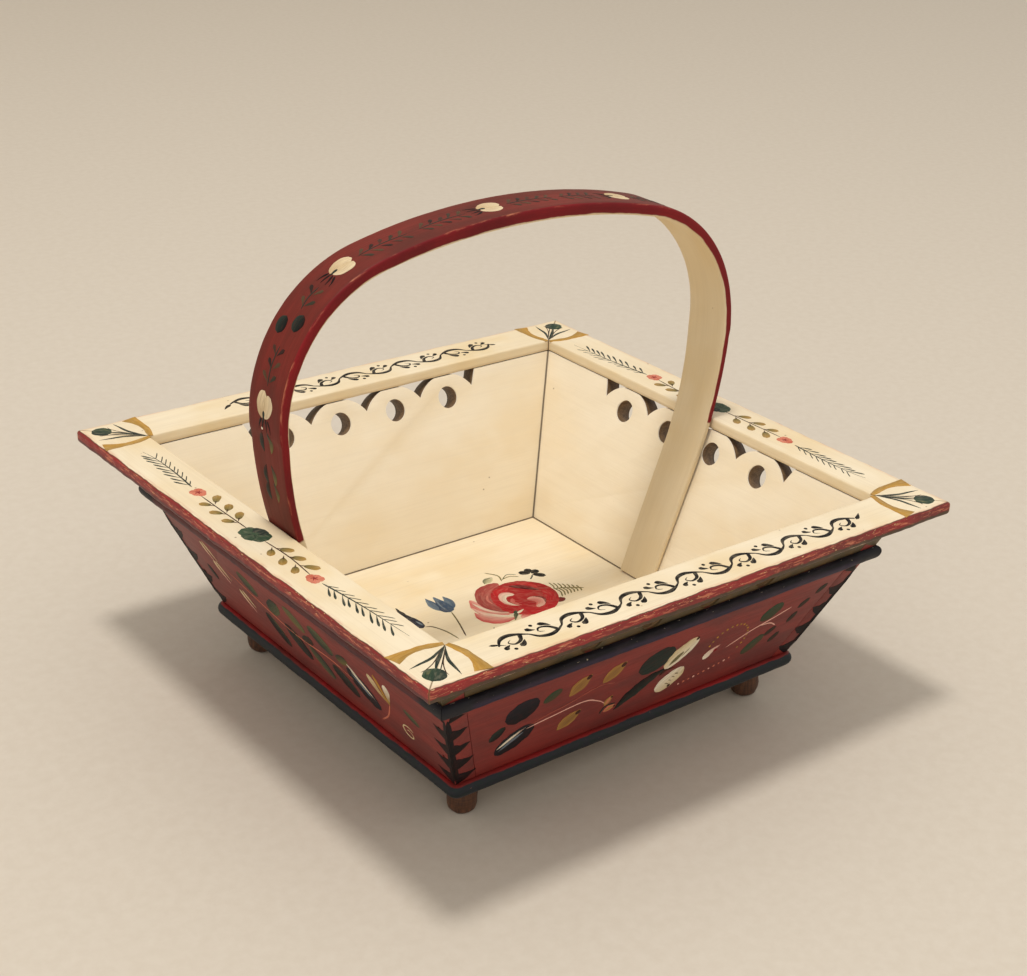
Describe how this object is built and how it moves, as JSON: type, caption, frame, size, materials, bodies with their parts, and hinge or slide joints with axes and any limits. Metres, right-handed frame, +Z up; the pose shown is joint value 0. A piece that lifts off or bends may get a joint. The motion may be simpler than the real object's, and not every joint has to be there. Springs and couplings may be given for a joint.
{
  "type": "wooden basket",
  "caption": "Square wooden egg basket with splayed, pierced board walls, a flat mitred rim, a bent-wood carrying handle and turned feet, painted with folk flowers.",
  "frame": {"origin": "centre of the footprint, on the surface that the feet stand on", "axes": "+Z up; +X along the front board, towards the right-hand handle leg; +Y from the front board to the back board"},
  "size_m": [0.3, 0.3, 0.243],
  "materials": {
    "wall": "worn satin paint, red outside and cream inside",
    "rim": "satin cream paint, red on the outer edge",
    "bead": "satin blue-black paint",
    "bottom_board": "satin paint, blue-green-black at the edge and cream inside",
    "foot": "dark brown stain",
    "handle": "satin paint, red-brown outside, red edges, cream inside",
    "nail": "dull, painted over"
  },
  "bodies": {
    "root": {"bottom_board": "bottom_board", "foot_front_left": "foot", "foot_front_right": "foot", "foot_back_left": "foot", "foot_back_right": "foot", "wall_front": "wall", "rim_front": "rim", "bead_front": "bead", "wall_right": "wall", "rim_right": "rim", "bead_right": "bead", "wall_back": "wall", "rim_back": "rim", "bead_back": "bead", "wall_left": "wall", "rim_left": "rim", "bead_left": "bead", "handle": "handle", "rim_nail_front_a": "nail", "base_nail_front_a": "nail", "bead_nail_front_a": "nail", "rim_nail_front_b": "nail", "base_nail_front_b": "nail", "bead_nail_front_b": "nail", "rim_nail_right_a": "nail", "base_nail_right_a": "nail", "bead_nail_right_a": "nail", "rim_nail_right_b": "nail", "base_nail_right_b": "nail", "bead_nail_right_b": "nail", "rim_nail_back_a": "nail", "base_nail_back_a": "nail", "bead_nail_back_a": "nail", "rim_nail_back_b": "nail", "base_nail_back_b": "nail", "bead_nail_back_b": "nail", "rim_nail_left_a": "nail", "base_nail_left_a": "nail", "bead_nail_left_a": "nail", "rim_nail_left_b": "nail", "base_nail_left_b": "nail", "bead_nail_left_b": "nail", "corner_nail_front_left_a": "nail", "corner_nail_front_left_b": "nail", "corner_nail_back_left_a": "nail", "corner_nail_back_left_b": "nail", "handle_nail_left_a": "nail", "handle_nail_left_b": "nail", "handle_nail_left_c": "nail", "corner_nail_front_right_a": "nail", "corner_nail_front_right_b": "nail", "corner_nail_back_right_a": "nail", "corner_nail_back_right_b": "nail", "handle_nail_right_a": "nail", "handle_nail_right_b": "nail", "handle_nail_right_c": "nail"}
  },
  "joints": []
}
